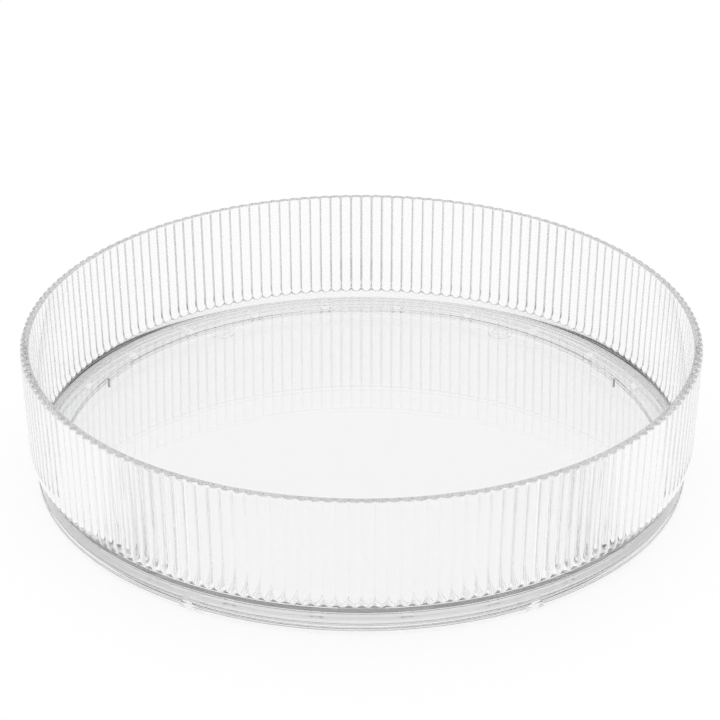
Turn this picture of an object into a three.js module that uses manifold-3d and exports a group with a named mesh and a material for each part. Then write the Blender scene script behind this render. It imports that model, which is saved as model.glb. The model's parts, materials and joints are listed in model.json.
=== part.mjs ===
// A clear, ribbed, round turntable tray: a deep tray that spins on a flat base over a ring of balls.
// Millimetres, +Z up. The origin is on the resting surface, on the axis that the tray spins about.

import * as THREE from 'three';
import { mergeVertices } from 'three/addons/utils/BufferGeometryUtils.js';
import Module from 'manifold-3d';

const wasm = await Module();
wasm.setup();

// ---------- driving dimensions ----------

// overall
const rimRadius = 146;          // over the rib crests, at the rim
const overallHeight = 63.5;     // resting surface to rim

// ribbed wall
const ribCount = 180;
const ribDepth = 1.2;
const ribEndHeight = 6.2;       // height of the rounded lower ends of the ribs
const ribFootRise = 1.8;        // rib feet above the floor of the tray
const wallThickness = 3;        // plain wall behind the ribs
const wallDraft = 1.5;          // how far the wall leans in from the rim to the rib ends
const rimRound = 0.8;           // rounded edges of the rim

// floor and skirt
const floorThickness = 2.6;
const coveRadius = 5.5;         // inside corner between wall and floor
const skirtInset = 3.5;         // skirt face inside the rib crests above it
const skirtThickness = 2.4;

// base
const baseLip = 0.4;            // base edge outside the skirt face
const baseEdgeHeight = 3.6;
const basePlateThickness = 2.4;
const baseEdgeWidth = 2.6;      // downturned edge of the base
const edgeRound = 0.4;

// ball bearing
const ballCount = 24;
const ballDiameter = 4.5;
const raceInset = 0.8;          // race walls inside the skirt's inner face
const raceWallThickness = 1;
const cageThickness = 0.8;
const cageWebWidth = 0.95;      // cage material on each side of a ball pocket

// snap that holds the tray on the base
const hookCount = 6;
const hookSpan = THREE.MathUtils.degToRad(8);
const hookThickness = 1.2;
const snapBead = 0.7;           // how far the tray's bead stands out

// non-slip feet
const footCount = 6;
const footDiameter = 8;
const footHeight = 1.2;
const footProud = 0.6;          // foot below the base
const footBossWall = 1.5;
const footInset = 8;            // foot centres inside the base edge, under the races

// clearances
const runningGap = 0.4;         // between faces that move past each other
const ballPlay = 0.35;          // round each ball, between its races
const pocketPlay = 0.3;         // round each ball, in the cage
const seatGap = 0.3;            // between a foot and its pocket
const bite = 0.5;               // how far joined solids run into each other
const coreShare = 0.6;          // how deep the ribs' band reaches into the wall, of its thickness

// facets
const latheSegments = 60;
const facetsPerRib = 2;
const arcSteps = 4;
const ribEndSteps = 2;
const footFacets = 12;
const pocketFacets = 10;
const hookFacets = 2;

// ---------- heights and radii that follow from them ----------

const baseBottom = footProud;
const baseTop = baseBottom + baseEdgeHeight;
const raceSpace = ballDiameter + 2 * ballPlay;      // across a ball and its play
const raceWallHeight = (raceSpace - cageThickness) / 2 - runningGap;
const beadHeight = (raceWallHeight - 2 * runningGap) / 2;
const floorUnder = baseTop + raceSpace;
const floorTop = floorUnder + floorThickness;
const skirtBottom = baseTop + runningGap;
const ribFoot = floorTop + ribFootRise;
const ribShoulder = ribFoot + ribEndHeight;
const ballHeight = (baseTop + floorUnder) / 2;

const footCrestRadius = rimRadius - wallDraft;
const innerRimRadius = rimRadius - ribDepth - wallThickness;
const innerFootRadius = footCrestRadius - ribDepth - wallThickness;
const skirtRadius = footCrestRadius - skirtInset;
const skirtInner = skirtRadius - skirtThickness;
const baseRadius = skirtRadius + baseLip;
const outerRaceWall = skirtInner - raceInset - raceWallThickness;
const raceRadius = outerRaceWall - raceSpace / 2;
const innerRaceWall = outerRaceWall - raceSpace - raceWallThickness;
const beadRadius = innerRaceWall - snapBead;
const hookRadius = beadRadius - runningGap;
const hookReach = innerRaceWall - runningGap;       // the hooks' own bead, over the tray's

// ---------- solids ----------

const turn = (count, index) => (2 * Math.PI * index) / count;

// A stretch of an ellipse from angle start to angle end, as profile points.
function arc(r, z, across, up, start, end, steps = arcSteps) {
  const points = [];
  for (let i = 0; i <= steps; i++) {
    const angle = start + ((end - start) * i) / steps;
    points.push([r + across * Math.cos(angle), z + up * Math.sin(angle)]);
  }
  return points;
}

// A closed profile of [radius, height] points, turned about Z.
function turned(profile, segments = latheSegments) {
  const points = profile.map(([r, z]) => new THREE.Vector2(r, z));
  return new THREE.LatheGeometry(points, segments).rotateX(Math.PI / 2);
}

function ring(inner, outer, bottom, top) {
  return turned([[inner, bottom], [outer, bottom], [outer, top], [inner, top], [inner, bottom]]);
}

// A stretch of a ring, centred on the given angle.
function ringStretch(inner, outer, bottom, top, span, angle) {
  const shape = new THREE.Shape();
  shape.absarc(0, 0, outer, -span / 2, span / 2, false);
  shape.absarc(0, 0, inner, span / 2, -span / 2, true);
  const settings = { depth: top - bottom, bevelEnabled: false, curveSegments: hookFacets };
  return new THREE.ExtrudeGeometry(shape, settings).translate(0, 0, bottom).rotateZ(angle);
}

function disc(radius, bottom, top, segments) {
  const geometry = new THREE.CylinderGeometry(radius, radius, top - bottom, segments);
  return geometry.rotateX(Math.PI / 2).translate(0, 0, (top + bottom) / 2);
}

function toSolid(geometry) {
  const bare = geometry.clone();
  bare.deleteAttribute('normal');
  bare.deleteAttribute('uv');
  const merged = mergeVertices(bare);
  const corners = merged.index.array;
  const kept = [];
  for (let i = 0; i < corners.length; i += 3) {
    const [a, b, c] = corners.subarray(i, i + 3);
    if (a !== b && b !== c && c !== a) kept.push(a, b, c);
  }
  const vertProperties = new Float32Array(merged.attributes.position.array);
  return new wasm.Manifold(new wasm.Mesh({ numProp: 3, vertProperties, triVerts: new Uint32Array(kept) }));
}

function toGeometry(solid) {
  const mesh = solid.getMesh();
  const geometry = new THREE.BufferGeometry();
  geometry.setAttribute('position', new THREE.BufferAttribute(mesh.vertProperties, 3));
  geometry.setIndex(new THREE.BufferAttribute(mesh.triVerts, 1));
  geometry.computeVertexNormals();
  return geometry;
}

const joined = (geometries) => geometries.map(toSolid).reduce((all, next) => all.add(next));

function cutBy(solid, geometries) {
  return geometries.map(toSolid).reduce((left, tool) => left.subtract(tool), solid);
}

// ---------- materials ----------

const clearPlastic = { color: 0xeef1f2, roughness: 0.05, metalness: 0, transparent: true, opacity: 0.4 };
const finishes = {
  tray: clearPlastic,
  base: clearPlastic,
  cage: { ...clearPlastic, color: 0xe6eaec },
  ball: { color: 0xf4f6f7, roughness: 0.03, metalness: 0, transparent: true, opacity: 0.6 },
  foot: { color: 0xe9ebea, roughness: 0.55, metalness: 0, transparent: true, opacity: 0.7 },
};

function piece(name, geometry, finish) {
  const mesh = new THREE.Mesh(geometry, new THREE.MeshStandardMaterial(finishes[finish]));
  mesh.name = name;
  return mesh;
}

// ---------- tray ----------

// The wall, cove, floor and skirt in one section, from the underside's centre round to the floor's.
function trayBody() {
  const plainRim = rimRadius - rimRound - ribDepth - bite;
  const plainFoot = footCrestRadius - rimRound - ribDepth - bite;
  return turned([
    [0, floorUnder],
    [skirtInner, floorUnder],
    [skirtInner, skirtBottom],
    [skirtRadius, skirtBottom],
    [skirtRadius, ribFoot + bite],
    [plainFoot, ribShoulder],
    [plainRim, overallHeight],
    ...arc(innerRimRadius + rimRound, overallHeight - rimRound, rimRound, rimRound, Math.PI / 2, Math.PI, 2),
    ...arc(innerFootRadius - coveRadius, floorTop + coveRadius, coveRadius, coveRadius, 0, -Math.PI / 2),
    [0, floorTop],
  ]);
}

// The ring of ribs: a turned band whose outer points are pulled in by the depth of a rib on every
// other step. Its inner side lies within the plain wall, where the two are joined.
function ribBand() {
  const core = ribDepth + wallThickness * coreShare;
  const outside = [
    ...arc(skirtRadius, ribShoulder, skirtInset, ribEndHeight, -Math.PI / 2, 0, ribEndSteps),
    [rimRadius, overallHeight - 1.5 * rimRound],
    [rimRadius - rimRound, overallHeight],
  ];
  const inside = [[rimRadius - core, overallHeight], [footCrestRadius - core, ribShoulder]];
  const start = [skirtRadius - bite, ribFoot];
  const profile = [start, ...outside, ...inside, start];
  const band = turned(profile, ribCount * facetsPerRib);
  const position = band.attributes.position;
  for (let i = 0; i < position.count; i++) {
    const step = Math.floor(i / profile.length);
    const place = i % profile.length;
    const isValley = step % facetsPerRib === 0 && place >= 1 && place <= outside.length;
    if (!isValley) continue;
    const [radius, height] = profile[place];
    const depth = ribDepth * Math.min(1, (height - ribFoot) / ribEndHeight);
    const scale = (radius - depth) / radius;
    position.setXY(i, position.getX(i) * scale, position.getY(i) * scale);
  }
  return band;
}

function tray() {
  const raceTop = floorUnder + bite;
  const raceBottom = floorUnder - raceWallHeight;
  return toGeometry(joined([
    trayBody(),
    ribBand(),
    ring(outerRaceWall, outerRaceWall + raceWallThickness, raceBottom, raceTop),
    ring(innerRaceWall, innerRaceWall + raceWallThickness, raceBottom, raceTop),
    ring(beadRadius, innerRaceWall + raceWallThickness / 2, raceBottom, raceBottom + beadHeight),
  ]));
}

// ---------- base ----------

const footAngles = Array.from({ length: footCount }, (_, i) => turn(footCount, i));
const footCircle = baseRadius - footInset;

// An upright disc of the given radius at each foot.
function footDiscs(radius, bottom, top) {
  const atFoot = (geometry, angle) => geometry.translate(footCircle, 0, 0).rotateZ(angle);
  return footAngles.map((angle) => atFoot(disc(radius, bottom, top, footFacets), angle));
}

function baseBody() {
  const plateBottom = baseTop - basePlateThickness;
  return turned([
    [0, plateBottom],
    [baseRadius - baseEdgeWidth, plateBottom],
    [baseRadius - baseEdgeWidth, baseBottom],
    [baseRadius - edgeRound, baseBottom],
    [baseRadius, baseBottom + edgeRound],
    [baseRadius, baseTop - edgeRound],
    [baseRadius - edgeRound, baseTop],
    [0, baseTop],
  ]);
}

// One of the hooks that hold the tray down, by a bead over the tray's own bead.
function hook(angle) {
  const top = floorUnder - runningGap;
  const inner = hookRadius - hookThickness;
  return [
    ringStretch(inner, hookRadius, baseTop - bite, top, hookSpan, angle),
    ringStretch(inner + hookThickness / 2, hookReach, top - beadHeight, top, hookSpan, angle),
  ];
}

function base() {
  const raceBottom = baseTop - bite;
  const raceTop = baseTop + raceWallHeight;
  const pocket = footDiameter / 2 + seatGap;
  const hooks = Array.from({ length: hookCount }, (_, i) => hook(turn(hookCount, i + 0.5))).flat();
  const body = joined([
    baseBody(),
    ring(outerRaceWall, outerRaceWall + raceWallThickness, raceBottom, raceTop),
    ring(innerRaceWall, innerRaceWall + raceWallThickness, raceBottom, raceTop),
    ...footDiscs(pocket + footBossWall, baseBottom, baseTop - bite),
    ...hooks,
  ]);
  return toGeometry(cutBy(body, footDiscs(pocket, 0, footHeight + seatGap)));
}

// ---------- ball bearing ----------

const ballAngles = Array.from({ length: ballCount }, (_, i) => turn(ballCount, i + 0.5));
const pocketRadius = ballDiameter / 2 + pocketPlay;
const atBall = (geometry, angle) => geometry.translate(raceRadius, 0, ballHeight).rotateZ(angle);

function ballCage() {
  const half = pocketRadius + cageWebWidth;
  const bottom = ballHeight - cageThickness / 2;
  const plate = ring(raceRadius - half, raceRadius + half, bottom, bottom + cageThickness);
  const pocket = () => disc(pocketRadius, -cageThickness, cageThickness, pocketFacets);
  const pockets = ballAngles.map((angle) => atBall(pocket(), angle));
  return toGeometry(cutBy(toSolid(plate), pockets));
}

const ball = (angle) => atBall(new THREE.IcosahedronGeometry(ballDiameter / 2, 1), angle);

// ---------- assembly ----------

const group = new THREE.Group();
group.add(piece('tray', tray(), 'tray'));
group.add(piece('base', base(), 'base'));
group.add(piece('ball_cage', ballCage(), 'cage'));
ballAngles.forEach((angle, i) => {
  group.add(piece(`ball_${String(i + 1).padStart(2, '0')}`, ball(angle), 'ball'));
});
footDiscs(footDiameter / 2, 0, footHeight).forEach((foot, i) => {
  group.add(piece(`foot_${i + 1}`, foot, 'foot'));
});

export default group;
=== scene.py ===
"""A clear, ribbed turntable tray, finished around its packed frame.

Everything is in metres and in the frame's own axes: +Z up, the tray turning about Z.
"""

import json
import math
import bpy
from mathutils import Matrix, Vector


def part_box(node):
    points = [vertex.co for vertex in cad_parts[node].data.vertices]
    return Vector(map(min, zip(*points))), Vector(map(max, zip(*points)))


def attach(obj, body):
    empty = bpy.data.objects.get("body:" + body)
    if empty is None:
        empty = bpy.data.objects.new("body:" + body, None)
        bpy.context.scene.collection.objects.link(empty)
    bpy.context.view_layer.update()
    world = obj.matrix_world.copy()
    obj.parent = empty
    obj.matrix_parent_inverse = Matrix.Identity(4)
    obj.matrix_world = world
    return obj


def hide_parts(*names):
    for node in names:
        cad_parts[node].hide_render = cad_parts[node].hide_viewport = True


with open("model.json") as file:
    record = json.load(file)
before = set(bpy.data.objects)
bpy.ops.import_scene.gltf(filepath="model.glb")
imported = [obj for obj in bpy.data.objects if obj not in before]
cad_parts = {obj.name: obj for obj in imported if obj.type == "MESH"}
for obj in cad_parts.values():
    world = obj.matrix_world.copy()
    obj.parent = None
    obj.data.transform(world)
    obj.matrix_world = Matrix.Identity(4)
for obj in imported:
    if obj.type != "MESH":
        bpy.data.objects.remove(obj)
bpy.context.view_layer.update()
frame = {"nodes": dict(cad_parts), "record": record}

from types import SimpleNamespace

import bmesh
import bpy
from mathutils import Matrix, Vector

bl_info = {
    "name": "Ribbed Turntable Tray",
    "version": (1, 0, 0),
    "blender": (4, 5, 0),
    "location": "3D View > Sidebar > Turntable Tray",
    "description": "Makes a clear ribbed tray that turns on a base over a ring of balls",
    "category": "Add Mesh",
}

MM = 0.001
FULL_TURN = 2 * math.pi
ROUND_STEPS = ((0.6 * MM, 3), (2 * MM, 5), (math.inf, 10))  # arcs up to a radius, and their steps
CREASE_ANGLE = math.radians(32)
TURN_STEPS = 720  # facets round a plain turned piece
LONG_SIDE = 4 * MM  # a section's side past which its ends get a point of their own
FLAT_MARGIN = 0.3 * MM  # from an arc's end to that point
RIB_END_STEPS = 10  # facets round the corner that the ribs follow
BEARING_MARGIN = 3 * MM  # from the hooks in to where the long flat faces begin
MERGE_DISTANCE = 0.01 * MM  # a turned piece's first and last columns are joined within this
CUT_PAST = 1 * MM  # how far a cutting disc reaches past the face that it cuts
FACE_MARGIN = 0.1 * MM  # a face is picked by its place within this


# ---------- settings ----------


def length(label, about, millimetres):
    """A length that a user can change."""
    return bpy.props.FloatProperty(
        name=label, description=about, default=millimetres * MM, unit="LENGTH", precision=5
    )


def number(label, about, value):
    """A whole number that a user can change."""
    return bpy.props.IntProperty(name=label, description=about, default=value, min=1)


def angle(label, about, degrees):
    """An angle that a user can change."""
    return bpy.props.FloatProperty(
        name=label, description=about, default=math.radians(degrees), subtype="ANGLE"
    )


def level(label, about, value):
    """A strength or a share that a user can change."""
    return bpy.props.FloatProperty(name=label, description=about, default=value, min=0)


def colour(label, about, hex_value):
    """A colour that a user can change, given as an sRGB hex value."""
    return bpy.props.FloatVectorProperty(
        name=label, description=about, default=linear(hex_value), subtype="COLOR", min=0, max=1
    )


def linear(hex_value):
    """The linear colour of an sRGB hex value such as "#f4f6f6"."""
    channels = [int(hex_value[i : i + 2], 16) / 255 for i in (1, 3, 5)]
    return tuple(c / 12.92 if c <= 0.04045 else ((c + 0.055) / 1.055) ** 2.4 for c in channels)


class PlasticSettings(bpy.types.PropertyGroup):
    """The clear copolymer of the tray and the base."""

    tint: colour("Plastic", "Colour that the plastic gives what is seen through it", "#ffffff")
    depth_tint: colour("Depth Tint", "Colour that the plastic turns with its depth", "#f2f2f2")
    tray_density: level("Tray Depth Density", "How soon the tray turns that colour, per metre", 32.0)
    base_density: level("Base Depth Density", "How soon the base turns that colour, per metre", 6.0)
    eroded: level("Eroded Roughness", "Roughness of the spark-eroded inner face of the skirt", 0.3)


class TrayShellSettings(bpy.types.PropertyGroup):
    """The ribbed shell that holds things."""

    rib_count: number("Ribs", "Upright ribs round the wall", 180)
    rib_steps: number("Steps per Rib", "Facets across one rib", 8)
    rib_depth: length("Rib Depth", "From a rib's crest to the valley beside it", 1.2)
    rib_end: length("Rib End", "Height of the rounded lower ends of the ribs", 6.2)
    rib_foot_rise: length("Rib Foot Rise", "From the floor up to the feet of the ribs", 1.8)
    wall: length("Wall", "Plain wall behind the ribs", 3.0)
    draft: length("Wall Draft", "How far the wall leans in from the rim to the rib ends", 1.5)
    outer_rim_round: length("Outer Rim Round", "Rounding of the rim's outer edge", 1.2)
    inner_rim_round: length("Inner Rim Round", "Rounding of the rim's inner edge", 0.8)
    cove: length("Cove", "Inside corner between wall and floor", 5.5)
    skirt: length("Skirt", "Thickness of the skirt below the ribs", 2.4)
    skirt_round: length("Skirt Round", "Rounding of the skirt's lower edge", 0.4)
    bead: length("Snap Bead", "How far the snap bead stands out", 0.7)
    bead_height: length("Snap Bead Height", "Height of the snap bead", 0.5)


class BaseSettings(bpy.types.PropertyGroup):
    """The flat base that stands still."""

    plate: length("Plate", "Thickness of the base plate", 2.4)
    edge_width: length("Edge Width", "Width of the downturned edge", 2.6)
    top_round: length("Top Round", "Rounding of the edge's top", 0.4)
    low_round: length("Low Round", "Rounding of the edge's foot", 1.6)
    boss_wall: length("Foot Boss Wall", "Wall round the pocket of a foot", 1.5)
    seat_gap: length("Seat Gap", "Gap between a foot and its pocket", 0.3)
    hook_count: number("Hooks", "Snap hooks that hold the tray down", 6)
    hook_thickness: length("Hook Thickness", "Thickness of a snap hook", 1.2)
    hook_span: angle("Hook Span", "How far round the base a hook reaches", 8)


class BearingSettings(bpy.types.PropertyGroup):
    """The ring of balls, its cage and its races."""

    ball_count: number("Balls", "Balls in the ring", 24)
    ball_play: length("Ball Play", "Play round each ball, between its races", 0.35)
    pocket_play: length("Pocket Play", "Play round each ball, in the cage", 0.3)
    race_wall: length("Race Wall", "Thickness of a race wall", 1.0)
    race_inset: length("Race Inset", "Race walls inside the skirt's inner face", 0.8)
    running_gap: length("Running Gap", "Gap between faces that move past each other", 0.4)
    cage_tint: colour("Cage", "Colour of the cage's plastic", "#f6f7f7")
    ball_tint: colour("Ball", "Colour of the clear balls", "#ffffff")


class FootSettings(bpy.types.PropertyGroup):
    """The soft feet under the base."""

    foot_count: number("Feet", "Feet under the base", 6)
    edge_round: length("Edge Round", "Rounding of a foot's lower edge", 0.4)
    tint: colour("Silicone", "Colour of the soft feet", "#eceeed")


class StageSettings(bpy.types.PropertyGroup):
    """The camera, the floor and the light."""

    camera_distance: bpy.props.FloatProperty(
        name="Camera Distance", description="From the origin to the camera", default=1.1330, unit="LENGTH"
    )
    camera_side: length("Camera Side", "How far the camera stands to the right", -0.64)
    camera_rise: angle("Camera Rise", "The camera's angle above the floor, from the origin", 29.545)
    camera_pitch: angle("Camera Pitch", "How far the camera looks down from level", 27.334)
    camera_lens: bpy.props.FloatProperty(
        name="Lens", description="Focal length in millimetres", default=128.43, subtype="DISTANCE_CAMERA"
    )
    floor_width: bpy.props.FloatProperty(
        name="Floor Width", description="Width of the floor", default=30.0, unit="LENGTH"
    )
    floor_tint: colour("Floor", "Colour of the light table's top", "#707070")
    floor_glow: level("Floor Glow", "Light that the table gives from below", 0.88)
    tent_light: level("Tent Light", "Strength of the light tent", 1.0)


# The tent's shade by the sine of the angle above the floor.
TENT_BY_HEIGHT = [(0.0, 1.0), (0.3, 1.0), (0.5, 0.9), (0.8, 0.9), (1.0, 1.0)]
# The tent's shade by the bearing in degrees, with 0 behind the tray and 90 at its right. It has a
# dark card at each side, and is dimmer behind the camera.
TENT_BY_BEARING = [
    (-180, 0.5),
    (-140, 0.6),
    (-95, 0.2),
    (-62, 0.2),
    (-50, 1.0),
    (42, 1.0),
    (50, 0.15),
    (95, 0.15),
    (140, 0.6),
    (180, 0.5),
]
# The cards fade out between these two heights, also given as sines.
CARD_FADE_START = 0.35
CARD_FADE_END = 0.75

SETTINGS = {
    "tray_plastic": PlasticSettings,
    "tray_shell": TrayShellSettings,
    "tray_base": BaseSettings,
    "tray_bearing": BearingSettings,
    "tray_feet": FootSettings,
    "tray_stage": StageSettings,
}


# ---------- places that come from the frame ----------

tray_low, tray_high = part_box("tray")
base_low, base_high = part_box("base")
cage_low, cage_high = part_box("ball_cage")
ball_low, ball_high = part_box("ball_01")
foot_low, foot_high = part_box("foot_1")

mount_places = {mount["name"]: mount["pos_m"] for mount in frame["record"]["mounts"]}
floor_top = mount_places["tray_floor"][2]
ball_centre = (ball_low + ball_high) / 2
ball_circle = math.hypot(ball_centre.x, ball_centre.y)
ball_radius = (ball_high.z - ball_low.z) / 2
foot_circle = (foot_low.x + foot_high.x) / 2
foot_radius = (foot_high.x - foot_low.x) / 2


def fits(scene):
    """Radii and heights where the tray, the base and the bearing meet."""
    bearing = scene.tray_bearing
    shell = scene.tray_shell
    race_half = ball_radius + bearing.ball_play
    at = SimpleNamespace()
    at.outer_race = ball_circle + race_half
    at.outer_race_back = at.outer_race + bearing.race_wall
    at.inner_race = ball_circle - race_half
    at.inner_race_back = at.inner_race - bearing.race_wall
    at.bead = at.inner_race_back - shell.bead
    at.hook_face = at.bead - bearing.running_gap
    at.hook_reach = at.inner_race_back - bearing.running_gap
    at.bearing_zone = at.hook_face - BEARING_MARGIN
    at.skirt_inner = at.outer_race_back + bearing.race_inset
    at.skirt = at.skirt_inner + shell.skirt
    at.base_top = ball_low.z - bearing.ball_play
    at.floor_under = ball_high.z + bearing.ball_play
    at.lower_race_top = cage_low.z - bearing.running_gap
    at.upper_race_bottom = cage_high.z + bearing.running_gap
    return at


def nodes_named(*starts, but=()):
    """The frame's nodes whose names start with one of the given words."""
    return sorted(name for name in frame["nodes"] if name.startswith(starts) and name not in but)


# ---------- sections ----------


def spun(vector, turn):
    """A 2-D vector turned clockwise, the way that angle_signed counts."""
    c, s = math.cos(turn), math.sin(turn)
    return Vector((vector.x * c + vector.y * s, vector.y * c - vector.x * s))


def rounded(corners):
    """A section's points from its corners (radius, height, rounding), with an arc at each rounding.

    A long straight side gets one more point beside each arc, so that its flat stays flat.
    """
    points = []
    for i, (radius, height, rounding) in enumerate(corners):
        here = Vector((radius, height))
        if rounding == 0:
            points.append(here)
            continue
        to_last = Vector(corners[i - 1][:2]) - here
        to_next = Vector(corners[(i + 1) % len(corners)][:2]) - here
        back, ahead = to_last.normalized(), to_next.normalized()
        half = back.angle(ahead) / 2
        reach = rounding / math.tan(half)
        centre = here + (back + ahead).normalized() * rounding / math.sin(half)
        start = here + back * reach - centre
        end = here + ahead * reach - centre
        steps = next(count for limit, count in ROUND_STEPS if rounding < limit)
        sweep = start.angle_signed(end)
        if to_last.length > LONG_SIDE:
            points.append(here + back * (reach + FLAT_MARGIN))
        points += [centre + spun(start, sweep * step / steps) for step in range(steps + 1)]
        if to_next.length > LONG_SIDE:
            points.append(here + ahead * (reach + FLAT_MARGIN))
    return [tuple(point) for point in points]


def section_mesh(name, points, outward=None):
    """A mesh of bare points (radius, 0, height), each with the way out that ribs stand up, or none."""
    mesh = bpy.data.meshes.new(name)
    mesh.from_pydata([(radius, 0, height) for radius, height in points], [], [])
    ways = mesh.attributes.new("rib_outward", "FLOAT_VECTOR", "POINT")
    for way, (out, up) in zip(ways.data, outward or [(0, 0)] * len(points)):
        way.vector = (out, 0, up)
    return mesh


def upright_disc(radius, low, high, out=0.0, segments=64):
    """A closed upright disc, its centre a given way out along X."""
    mesh = bpy.data.meshes.new("disc")
    shape = bmesh.new()
    bmesh.ops.create_cone(
        shape,
        cap_ends=True,
        segments=segments,
        radius1=radius,
        radius2=radius,
        depth=high - low,
        matrix=Matrix.Translation((out, 0, (low + high) / 2)),
    )
    shape.to_mesh(mesh)
    shape.free()
    return mesh


def stretch(section, span, steps=8):
    """A closed stretch of a turned section, centred on +X."""
    mesh = bpy.data.meshes.new("stretch")
    size = len(section)
    places = []
    for step in range(steps + 1):
        turn = span * (step / steps - 0.5)
        places += [(r * math.cos(turn), r * math.sin(turn), z) for r, z in section]
    faces = [tuple(range(size)), tuple(reversed(range(steps * size, (steps + 1) * size)))]
    for step in range(steps):
        for i in range(size):
            near, far = step * size, (step + 1) * size
            after = (i + 1) % size
            faces.append((near + after, near + i, far + i, far + after))
    mesh.from_pydata(places, [], faces)
    return mesh


# ---------- node trees ----------


def add(tree, kind, inputs=None, **settings):
    """Adds a node to a tree with its settings, and sets or links its inputs."""
    node = tree.nodes.new(kind)
    for name, value in settings.items():
        setattr(node, name, value)
    for key, value in (inputs or {}).items():
        if isinstance(value, bpy.types.NodeSocket):
            tree.links.new(value, node.inputs[key])
        else:
            node.inputs[key].default_value = value
    return node


def result_of(tree, operation, *values):
    """The result of one sum on up to three values or sockets."""
    return add(tree, "ShaderNodeMath", dict(enumerate(values)), operation=operation).outputs[0]


def tree_of(name, build):
    """The tree of that name, built when it is first asked for."""
    return bpy.data.node_groups.get(name) or build(name)


def group_with(name, inputs):
    """A tree with Geometry in and out and the named inputs, with its input and output nodes."""
    tree = bpy.data.node_groups.new(name, "GeometryNodeTree")
    tree.interface.new_socket("Geometry", in_out="INPUT", socket_type="NodeSocketGeometry")
    for label, kind in inputs.items():
        tree.interface.new_socket(label, in_out="INPUT", socket_type="NodeSocket" + kind)
    tree.interface.new_socket("Geometry", in_out="OUTPUT", socket_type="NodeSocketGeometry")
    return tree, tree.nodes.new("NodeGroupInput"), tree.nodes.new("NodeGroupOutput")


def end_tree(tree, out, geometry, material):
    """Ends a tree: instances made real, then the material."""
    real = add(tree, "GeometryNodeRealizeInstances", {0: geometry}).outputs[0]
    painted = add(tree, "GeometryNodeSetMaterial", {"Geometry": real, "Material": material})
    tree.links.new(painted.outputs[0], out.inputs[0])


def turned_section_tree(name):
    """Turns a section of points about Z, and pulls its outside in between the ribs."""
    sizes = {
        "Ribs": "Int",
        "Steps per Rib": "Int",
        "Rib Depth": "Float",
        "Rim Radius": "Float",
        "Material": "Material",
    }
    tree, given, out = group_with(name, sizes)
    section, ribs, steps, depth, rim, material = given.outputs[:6]

    columns = result_of(tree, "MULTIPLY", ribs, steps)
    rows = add(tree, "GeometryNodeAttributeDomainSize", {0: section}).outputs["Point Count"]
    grid_size = {"Vertices X": result_of(tree, "ADD", columns, 1.0), "Vertices Y": rows}
    grid = add(tree, "GeometryNodeMeshGrid", grid_size).outputs["Mesh"]
    index = add(tree, "GeometryNodeInputIndex").outputs[0]
    column = result_of(tree, "FLOOR", result_of(tree, "DIVIDE", index, rows))
    row = result_of(tree, "MODULO", index, rows)

    position = add(tree, "GeometryNodeInputPosition").outputs[0]
    vector = {"data_type": "FLOAT_VECTOR"}
    outward = add(tree, "GeometryNodeInputNamedAttribute", {"Name": "rib_outward"}, **vector).outputs[0]
    at_row = {"Geometry": section, "Index": row}
    place = add(tree, "GeometryNodeSampleIndex", {**at_row, "Value": position}, **vector).outputs[0]
    way = add(tree, "GeometryNodeSampleIndex", {**at_row, "Value": outward}, **vector).outputs[0]

    # A rib is a round arc: its radius comes from half the pitch and the depth.
    half_pitch = result_of(tree, "DIVIDE", result_of(tree, "MULTIPLY", rim, math.pi), ribs)
    squares = [result_of(tree, "POWER", side, 2.0) for side in (half_pitch, depth)]
    arc = result_of(
        tree, "DIVIDE", result_of(tree, "ADD", *squares), result_of(tree, "MULTIPLY", depth, 2.0)
    )
    phase = result_of(tree, "FRACT", result_of(tree, "DIVIDE", column, steps))
    off_crest = result_of(tree, "ABSOLUTE", result_of(tree, "MULTIPLY_ADD", phase, 2.0, -1.0))
    across = result_of(tree, "MULTIPLY", off_crest, half_pitch)
    squares = [result_of(tree, "POWER", side, 2.0) for side in (arc, across)]
    rise = result_of(tree, "SQRT", result_of(tree, "SUBTRACT", *squares))
    drop = result_of(tree, "SUBTRACT", rise, arc)
    pulled = {"Vector": way, "Scale": drop}
    pull = add(tree, "ShaderNodeVectorMath", pulled, operation="SCALE").outputs[0]
    ribbed = add(tree, "ShaderNodeVectorMath", {0: place, 1: pull}, operation="ADD").outputs[0]
    radius, _, height = add(tree, "ShaderNodeSeparateXYZ", {0: ribbed}).outputs[:3]

    turn = result_of(tree, "MULTIPLY", result_of(tree, "DIVIDE", column, columns), FULL_TURN)
    turned_place = {
        0: result_of(tree, "MULTIPLY", radius, result_of(tree, "COSINE", turn)),
        1: result_of(tree, "MULTIPLY", radius, result_of(tree, "SINE", turn)),
        2: height,
    }
    target = add(tree, "ShaderNodeCombineXYZ", turned_place).outputs[0]
    moved = add(tree, "GeometryNodeSetPosition", {"Geometry": grid, "Position": target})
    closed = {"Geometry": moved.outputs[0], "Distance": MERGE_DISTANCE}
    merged = add(tree, "GeometryNodeMergeByDistance", closed).outputs[0]
    end_tree(tree, out, merged, material)
    return tree


def ring_of_copies_tree(name):
    """Repeats a mesh round Z, each copy facing outwards."""
    sizes = {"Copies": "Int", "First Angle": "Float", "Material": "Material"}
    tree, given, out = group_with(name, sizes)
    shape, copies, first, material = given.outputs[:4]
    points = add(tree, "GeometryNodePoints", {"Count": copies}).outputs[0]
    index = add(tree, "GeometryNodeInputIndex").outputs[0]
    step = result_of(tree, "DIVIDE", FULL_TURN, copies)
    turn = result_of(tree, "MULTIPLY_ADD", index, step, first)
    rotation = add(tree, "ShaderNodeCombineXYZ", {2: turn}).outputs[0]
    spread = {"Points": points, "Instance": shape, "Rotation": rotation}
    placed = add(tree, "GeometryNodeInstanceOnPoints", spread).outputs[0]
    end_tree(tree, out, placed, material)
    return tree


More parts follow.
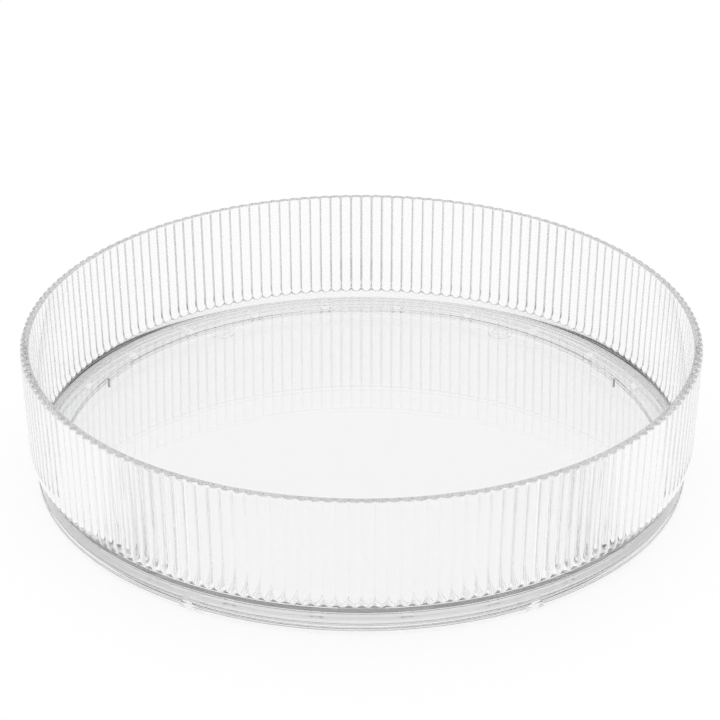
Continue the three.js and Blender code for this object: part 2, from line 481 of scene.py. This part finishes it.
def grow(name, mesh, tree, sizes):
    """Runs a tree over a mesh with the named sizes, and keeps the result as a plain mesh."""
    piece = bpy.data.objects.new(name, mesh)
    bpy.context.scene.collection.objects.link(piece)
    modifier = piece.modifiers.new("grow", "NODES")
    modifier.node_group = tree
    for socket in tree.interface.items_tree:
        if socket.name in sizes:
            modifier[socket.identifier] = sizes[socket.name]
    keep_result(piece)
    return piece


def keep_result(piece):
    """Replaces a piece's mesh by what its modifiers make of it, and drops them."""
    evaluated = piece.evaluated_get(bpy.context.evaluated_depsgraph_get())
    finished = bpy.data.meshes.new_from_object(evaluated)
    piece.modifiers.clear()
    piece.data = finished


def combine(piece, tool, operation):
    """Joins a tool to a piece or cuts it out, and removes the tool."""
    modifier = piece.modifiers.new("combine", "BOOLEAN")
    modifier.object = tool
    modifier.operation = operation
    modifier.solver = "MANIFOLD"
    keep_result(piece)
    bpy.data.objects.remove(tool)


def finish_piece(piece, material, body, nodes):
    """Gives a finished piece its faces' look, its body and its finish slot, and hides the frame's nodes
    that it stands for.
    """
    mesh = piece.data
    mesh.name = piece.name
    mesh.materials.clear()
    mesh.materials.append(material)
    mesh.polygons.foreach_set("material_index", [0] * len(mesh.polygons))
    mesh.shade_smooth()
    mesh.set_sharp_from_angle(angle=CREASE_ANGLE)
    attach(piece, body)
    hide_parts(*nodes)


def etch_faces(piece, material, inner, outer, low, high):
    """Gives the faces between two radii and two heights an etched finish."""
    mesh = piece.data
    mesh.materials.append(material)
    for face in mesh.polygons:
        if inner < math.hypot(face.center.x, face.center.y) < outer and low < face.center.z < high:
            face.material_index = 1


# ---------- materials ----------


def bare_material(name):
    """A material with one Principled shader: the material, its tree and the shader."""
    material = bpy.data.materials.new(name)
    material.use_nodes = True
    tree = material.node_tree
    tree.nodes.clear()
    shader = add(tree, "ShaderNodeBsdfPrincipled")
    add(tree, "ShaderNodeOutputMaterial", {"Surface": shader.outputs[0]})
    return material, tree, shader


def set_inputs(shader, **values):
    """Sets a shader's own sockets, their names written with underscores."""
    for name, value in values.items():
        shader.inputs[name.replace("_", " ")].default_value = value


def moulded_clear(name, tint, ior, roughness, flow_width, flow_depth):
    """Clear injection-moulded plastic: see-through and glossy, with the faint waves of the melt."""
    material, tree, shader = bare_material(name)
    set_inputs(shader, Base_Color=(*tint, 1), IOR=ior, Roughness=roughness, Transmission_Weight=1.0)
    place = add(tree, "ShaderNodeTexCoord").outputs["Object"]
    waves = {"Vector": place, "Scale": 1 / flow_width, "Detail": 1.0, "Roughness": 0.4}
    flow = add(tree, "ShaderNodeTexNoise", waves).outputs[0]
    bump = add(tree, "ShaderNodeBump", {"Height": flow, "Distance": flow_depth}).outputs[0]
    tree.links.new(bump, shader.inputs["Normal"])
    return material


def copolymer(finish, p, roughness, density):
    """Styrene-acrylonitrile: water-clear, a little more sparkling than acrylic, greying with depth."""
    name = "styrene_acrylonitrile_" + finish
    material = moulded_clear(name, p.tint, 1.53, roughness, flow_width=30 * MM, flow_depth=0.005 * MM)
    tree = material.node_tree
    depths = {"Color": (*p.depth_tint, 1), "Density": density}
    dimming = add(tree, "ShaderNodeVolumeAbsorption", depths).outputs[0]
    tree.links.new(dimming, tree.nodes["Material Output"].inputs["Volume"])
    return material


def moulded_silicone(name, tint):
    """Silicone rubber from an eroded mould: milky, soft and matt, with a fine grain."""
    material, tree, shader = bare_material(name)
    set_inputs(shader, Base_Color=(*tint, 1), IOR=1.41, Roughness=0.35, Transmission_Weight=1.0)
    grain_width = 0.4 * MM
    grain_depth = 0.02 * MM
    place = add(tree, "ShaderNodeTexCoord").outputs["Object"]
    grain = add(tree, "ShaderNodeTexNoise", {"Vector": place, "Scale": 1 / grain_width}).outputs[0]
    relief = {"Height": grain, "Strength": 0.3, "Distance": grain_depth}
    bump = add(tree, "ShaderNodeBump", relief).outputs[0]
    tree.links.new(bump, shader.inputs["Normal"])
    return material


# ---------- pieces ----------


def tray_section(p, at):
    """The tray's section, from the underside's centre round to the floor's, with its ribs' ways out."""
    rim = rim_radius(p)
    rib_foot = floor_top + p.rib_foot_rise
    shoulder = rib_foot + p.rib_end
    foot_crest = rim - p.draft
    wall_back = p.rib_depth + p.wall
    bead_top = at.upper_race_bottom + p.bead_height
    bead_round = 0.15 * MM
    inner_skirt_round = 0.3 * MM
    underside = rounded([
        (0, at.floor_under, 0),
        (at.bearing_zone, at.floor_under, 0),
        (at.inner_race_back, at.floor_under, 0),
        (at.inner_race_back, bead_top, 0),
        (at.bead, bead_top, bead_round),
        (at.bead, at.upper_race_bottom, bead_round),
        (at.inner_race, at.upper_race_bottom, 0),
        (at.inner_race, at.floor_under, 0),
        (at.outer_race, at.floor_under, 0),
        (at.outer_race, at.upper_race_bottom, 0),
        (at.outer_race_back, at.upper_race_bottom, 0),
        (at.outer_race_back, at.floor_under, 0),
        (at.skirt_inner, at.floor_under, 0),
        (at.skirt_inner, tray_low.z, inner_skirt_round),
        (at.skirt, tray_low.z, p.skirt_round),
        (at.skirt, rib_foot, 0),
    ])
    # The ribs follow the rounded corner under the wall, and run out against the skirt.
    corner, corner_out = [], []
    for step in range(1, RIB_END_STEPS + 1):
        turn = math.pi / 2 * step / RIB_END_STEPS
        reach = foot_crest - at.skirt
        corner.append((at.skirt + reach * math.sin(turn), shoulder - p.rib_end * math.cos(turn)))
        corner_out.append(Vector((p.rib_end * math.sin(turn), -reach * math.cos(turn))).normalized())
    inside = rounded([
        (foot_crest, shoulder, 0),
        (rim, tray_high.z, p.outer_rim_round),
        (rim - wall_back, tray_high.z, p.inner_rim_round),
        (foot_crest - wall_back, floor_top, p.cove),
        (0, floor_top, 0),
    ])[1:]
    # The ribs also run up over the outer rounding of the rim, and one point past it.
    ribbed = sum(radius > rim - p.outer_rim_round - 2 * FLAT_MARGIN for radius, _ in inside)
    outward = [(0, 0)] * (len(underside) - 1) + [(0, -1)] + corner_out
    outward += [(1, 0)] * ribbed + [(0, 0)] * (len(inside) - ribbed)
    return section_mesh("tray_section", underside + corner + inside, outward)


def rim_radius(p):
    """The radius over the rib crests, which lie half a rib to each side of the X axis."""
    return tray_high.x / math.cos(math.pi / p.rib_count)


class TRAY_OT_shell(bpy.types.Operator):
    """Make the ribbed tray shell"""

    bl_idname = "turntable_tray.shell"
    bl_label = "Tray Shell"

    def execute(self, context):
        p = context.scene.tray_shell
        at = fits(context.scene)
        # Polished mould: hard bright gloss, inside and out.
        plastic = context.scene.tray_plastic
        material = copolymer("polished_tray", plastic, 0.0, plastic.tray_density)
        sizes = {
            "Ribs": p.rib_count,
            "Steps per Rib": p.rib_steps,
            "Rib Depth": p.rib_depth,
            "Rim Radius": rim_radius(p),
            "Material": material,
        }
        section = tray_section(p, at)
        tree = tree_of("turned_section", turned_section_tree)
        piece = grow("tray_shell", section, tree, sizes)
        finish_piece(piece, material, "tray", ["tray"])
        # Spark-eroded mould: the skirt's hidden face blurs the bearing behind it.
        etched = copolymer("eroded_tray", plastic, plastic.eroded, plastic.tray_density)
        skirt_face = at.skirt_inner - FACE_MARGIN, at.skirt_inner + FACE_MARGIN
        etch_faces(piece, etched, *skirt_face, 0, at.floor_under)
        return {"FINISHED"}


def plain_turn(name, points, material, steps=TURN_STEPS):
    """A plain turned piece from its section's points, none of which has a way out for ribs."""
    sizes = {"Ribs": steps, "Steps per Rib": 1, "Rib Depth": 1.0, "Rim Radius": 1.0, "Material": material}
    tree = tree_of("turned_section", turned_section_tree)
    return grow(name, section_mesh(name, points), tree, sizes)


def ring_of(name, mesh, copies, first_angle, material):
    """Copies of a mesh round Z, as one piece."""
    sizes = {"Copies": copies, "First Angle": first_angle, "Material": material}
    return grow(name, mesh, tree_of("ring_of_copies", ring_of_copies_tree), sizes)


class TRAY_OT_base(bpy.types.Operator):
    """Make the base, with its races, snap hooks and foot pockets"""

    bl_idname = "turntable_tray.base"
    bl_label = "Base"

    def execute(self, context):
        p = context.scene.tray_base
        feet = context.scene.tray_feet
        at = fits(context.scene)
        edge = base_high.x
        tip = 0.2 * MM  # rounding of the race walls' and the hooks' tips
        inner_round = 0.4 * MM
        inner_foot_round = 0.3 * MM
        points = rounded([
            (0, at.base_top - p.plate, 0),
            (edge - p.edge_width, at.base_top - p.plate, inner_round),
            (edge - p.edge_width, base_low.z, inner_foot_round),
            (edge, base_low.z, p.low_round),
            (edge, at.base_top, p.top_round),
            (at.outer_race_back, at.base_top, 0),
            (at.outer_race_back, at.lower_race_top, tip),
            (at.outer_race, at.lower_race_top, tip),
            (at.outer_race, at.base_top, 0),
            (at.inner_race, at.base_top, 0),
            (at.inner_race, at.lower_race_top, tip),
            (at.inner_race_back, at.lower_race_top, tip),
            (at.inner_race_back, at.base_top, 0),
            (at.bearing_zone, at.base_top, 0),
            (0, at.base_top, 0),
        ])
        plastic = context.scene.tray_plastic
        material = copolymer("polished_base", plastic, 0.0, plastic.base_density)
        piece = plain_turn("base_disc", points, material)

        pocket = foot_radius + p.seat_gap
        mid_plate = at.base_top - p.plate / 2
        boss = upright_disc(pocket + p.boss_wall, base_low.z, mid_plate, foot_circle)
        combine(piece, ring_of("bosses", boss, feet.foot_count, 0.0, material), "UNION")
        room = upright_disc(pocket, -CUT_PAST, foot_high.z + p.seat_gap, foot_circle)
        combine(piece, ring_of("pockets", room, feet.foot_count, 0.0, material), "DIFFERENCE")

        bead_height = context.scene.tray_shell.bead_height
        back = at.hook_face - p.hook_thickness
        hook = rounded([
            (back, mid_plate, 0),
            (at.hook_face, mid_plate, 0),
            (at.hook_face, base_high.z - bead_height, 0),
            (at.hook_reach, base_high.z - bead_height, tip),
            (at.hook_reach, base_high.z, tip),
            (back, base_high.z, tip),
        ])
        hooks = ring_of("hooks", stretch(hook, p.hook_span), p.hook_count, math.pi / p.hook_count, material)
        combine(piece, hooks, "UNION")
        finish_piece(piece, material, "base", ["base"])
        return {"FINISHED"}


class TRAY_OT_balls(bpy.types.Operator):
    """Make the ring of balls"""

    bl_idname = "turntable_tray.balls"
    bl_label = "Balls"

    def execute(self, context):
        p = context.scene.tray_bearing
        mesh = bpy.data.meshes.new("ball")
        shape = bmesh.new()
        place = Matrix.Translation((ball_circle, 0, ball_centre.z))
        bmesh.ops.create_icosphere(shape, subdivisions=4, radius=ball_radius, matrix=place)
        shape.to_mesh(mesh)
        shape.free()
        # Acrylic, tumbled until it shines: each ball is a small clear lens.
        name = "acrylic_tumbled_balls"
        material = moulded_clear(name, p.ball_tint, 1.49, 0.0, flow_width=3 * MM, flow_depth=0.002 * MM)
        piece = ring_of("bearing_balls", mesh, p.ball_count, math.pi / p.ball_count, material)
        balls = nodes_named("ball_", but=("ball_cage",))
        finish_piece(piece, material, "ball_ring", balls)
        return {"FINISHED"}


class TRAY_OT_cage(bpy.types.Operator):
    """Make the cage that keeps the balls apart"""

    bl_idname = "turntable_tray.cage"
    bl_label = "Ball Cage"

    def execute(self, context):
        p = context.scene.tray_bearing
        outer = cage_high.x
        inner = 2 * ball_circle - outer
        edge = 0.2 * MM
        points = rounded([
            (inner, cage_low.z, edge),
            (outer, cage_low.z, edge),
            (outer, cage_high.z, edge),
            (inner, cage_high.z, edge),
        ])
        # Clear polypropylene: slightly hazy, so that the cage reads as a soft pale ring.
        name = "polypropylene_clear_cage"
        material = moulded_clear(name, p.cage_tint, 1.49, 0.08, flow_width=12 * MM, flow_depth=0.01 * MM)
        piece = plain_turn("ball_cage_ring", points + points[:1], material)
        hole = upright_disc(ball_radius + p.pocket_play, 0, 2 * cage_high.z, ball_circle, segments=32)
        holes = ring_of("holes", hole, p.ball_count, math.pi / p.ball_count, material)
        combine(piece, holes, "DIFFERENCE")
        finish_piece(piece, material, "ball_ring", ["ball_cage"])
        return {"FINISHED"}


class TRAY_OT_feet(bpy.types.Operator):
    """Make the soft feet"""

    bl_idname = "turntable_tray.feet"
    bl_label = "Feet"

    def execute(self, context):
        p = context.scene.tray_feet
        points = rounded([
            (0, foot_low.z, 0),
            (foot_radius, foot_low.z, p.edge_round),
            (foot_radius, foot_high.z, p.edge_round / 2),
            (0, foot_high.z, 0),
        ])
        material = moulded_silicone("silicone_matt_feet", p.tint)
        foot = plain_turn("foot", points, material, steps=64)
        foot.data.transform(Matrix.Translation((foot_circle, 0, 0)))
        piece = ring_of("soft_feet", foot.data, p.foot_count, 0.0, material)
        bpy.data.objects.remove(foot)
        finish_piece(piece, material, "base", nodes_named("foot_"))
        return {"FINISHED"}


# ---------- stage ----------


def make_camera(p):
    """The camera, in front of the tray and looking down on it."""
    camera = bpy.data.objects.new("camera", bpy.data.cameras.new("camera"))
    bpy.context.scene.collection.objects.link(camera)
    camera.data.lens = p.camera_lens
    away = p.camera_distance * math.cos(p.camera_rise)
    camera.location = (p.camera_side, -away, p.camera_distance * math.sin(p.camera_rise))
    camera.rotation_euler = (math.pi / 2 - p.camera_pitch, 0, 0)
    bpy.context.scene.camera = camera


def make_floor(p):
    """A wide light table, softly lit from below, that the tray stands on."""
    half = p.floor_width / 2
    corners = [(-half, -half, 0), (half, -half, 0), (half, half, 0), (-half, half, 0)]
    mesh = bpy.data.meshes.new("floor")
    mesh.from_pydata(corners, [], [(0, 1, 2, 3)])
    floor = bpy.data.objects.new("floor", mesh)
    bpy.context.scene.collection.objects.link(floor)
    material, tree, shader = bare_material("opal_acrylic_light_table")
    set_inputs(shader, Base_Color=(*p.floor_tint, 1), Roughness=1.0, Specular_IOR_Level=0.0)
    set_inputs(shader, Emission_Color=(1, 1, 1, 1), Emission_Strength=p.floor_glow)
    mesh.materials.append(material)


def make_light(p):
    """A light tent all round, with dark cards beside it that draw the edges of clear walls."""
    world = bpy.data.worlds.new("light_tent")
    bpy.context.scene.world = world
    world.use_nodes = True
    tree = world.node_tree
    tree.nodes.clear()
    direction = add(tree, "ShaderNodeTexCoord").outputs["Generated"]
    apart = add(tree, "ShaderNodeSeparateXYZ", {0: direction})
    height = add(tree, "ShaderNodeValToRGB", {"Fac": apart.outputs[2]})
    set_stops(height, TENT_BY_HEIGHT)
    bearing = result_of(tree, "ARCTAN2", apart.outputs[0], apart.outputs[1])
    round_about = result_of(tree, "MULTIPLY_ADD", bearing, 1 / FULL_TURN, 0.5)
    cards = add(tree, "ShaderNodeValToRGB", {"Fac": round_about})
    set_stops(cards, [(0.5 + degrees / 360, shade) for degrees, shade in TENT_BY_BEARING])
    fade = {"Value": apart.outputs[2], "From Min": CARD_FADE_START, "From Max": CARD_FADE_END}
    share = add(tree, "ShaderNodeMapRange", fade).outputs[0]
    # The inputs of a colour mix are its share (0) and its two colours (6 and 7).
    to_white = {0: share, 6: cards.outputs[0], 7: (1, 1, 1, 1)}
    faded = add(tree, "ShaderNodeMix", to_white, data_type="RGBA")
    product = {0: 1.0, 6: height.outputs[0], 7: faded.outputs[2]}
    both = add(tree, "ShaderNodeMix", product, data_type="RGBA", blend_type="MULTIPLY")
    sky = add(tree, "ShaderNodeBackground", {"Color": both.outputs[2], "Strength": p.tent_light})
    add(tree, "ShaderNodeOutputWorld", {"Surface": sky.outputs[0]})


def set_stops(ramp, stops):
    """Gives a colour ramp its grey stops, each a position and a shade."""
    elements = ramp.color_ramp.elements
    while len(elements) < len(stops):
        elements.new(0.5)
    for element, (position, shade) in zip(elements, stops):
        element.position = position
        element.color = (shade, shade, shade, 1)


def set_light_paths():
    """Enough bounces for light to pass every wall of the tray, and plain white for the tent."""
    scene = bpy.context.scene
    scene.view_settings.view_transform = "Standard"
    scene.cycles.max_bounces = 128
    scene.cycles.transmission_bounces = 128
    scene.cycles.glossy_bounces = 64
    scene.cycles.diffuse_bounces = 6


class TRAY_OT_stage(bpy.types.Operator):
    """Make the camera, the floor and the light"""

    bl_idname = "turntable_tray.stage"
    bl_label = "Stage"

    def execute(self, context):
        p = context.scene.tray_stage
        make_camera(p)
        make_floor(p)
        make_light(p)
        set_light_paths()
        return {"FINISHED"}


# ---------- add-on ----------

OPERATORS = [TRAY_OT_stage, TRAY_OT_shell, TRAY_OT_base, TRAY_OT_balls, TRAY_OT_cage, TRAY_OT_feet]


class TRAY_PT_panel(bpy.types.Panel):
    """The turntable tray's settings and pieces."""

    bl_label = "Turntable Tray"
    bl_idname = "TRAY_PT_panel"
    bl_space_type = "VIEW_3D"
    bl_region_type = "UI"
    bl_category = "Turntable Tray"

    def draw(self, context):
        for operator in OPERATORS:
            self.layout.operator(operator.bl_idname)
        for name, group in SETTINGS.items():
            box = self.layout.box()
            box.label(text=group.__doc__)
            for label in group.__annotations__:
                box.prop(getattr(context.scene, name), label)


def register():
    for name, group in SETTINGS.items():
        bpy.utils.register_class(group)
        setattr(bpy.types.Scene, name, bpy.props.PointerProperty(type=group))
    for each in [*OPERATORS, TRAY_PT_panel]:
        bpy.utils.register_class(each)


def unregister():
    for each in [TRAY_PT_panel, *reversed(OPERATORS)]:
        bpy.utils.unregister_class(each)
    for name, group in SETTINGS.items():
        delattr(bpy.types.Scene, name)
        bpy.utils.unregister_class(group)


def main():
    register()
    bpy.ops.turntable_tray.stage()
    bpy.ops.turntable_tray.shell()
    bpy.ops.turntable_tray.base()
    bpy.ops.turntable_tray.balls()
    bpy.ops.turntable_tray.cage()
    bpy.ops.turntable_tray.feet()


if __name__ == "__main__":
    main()
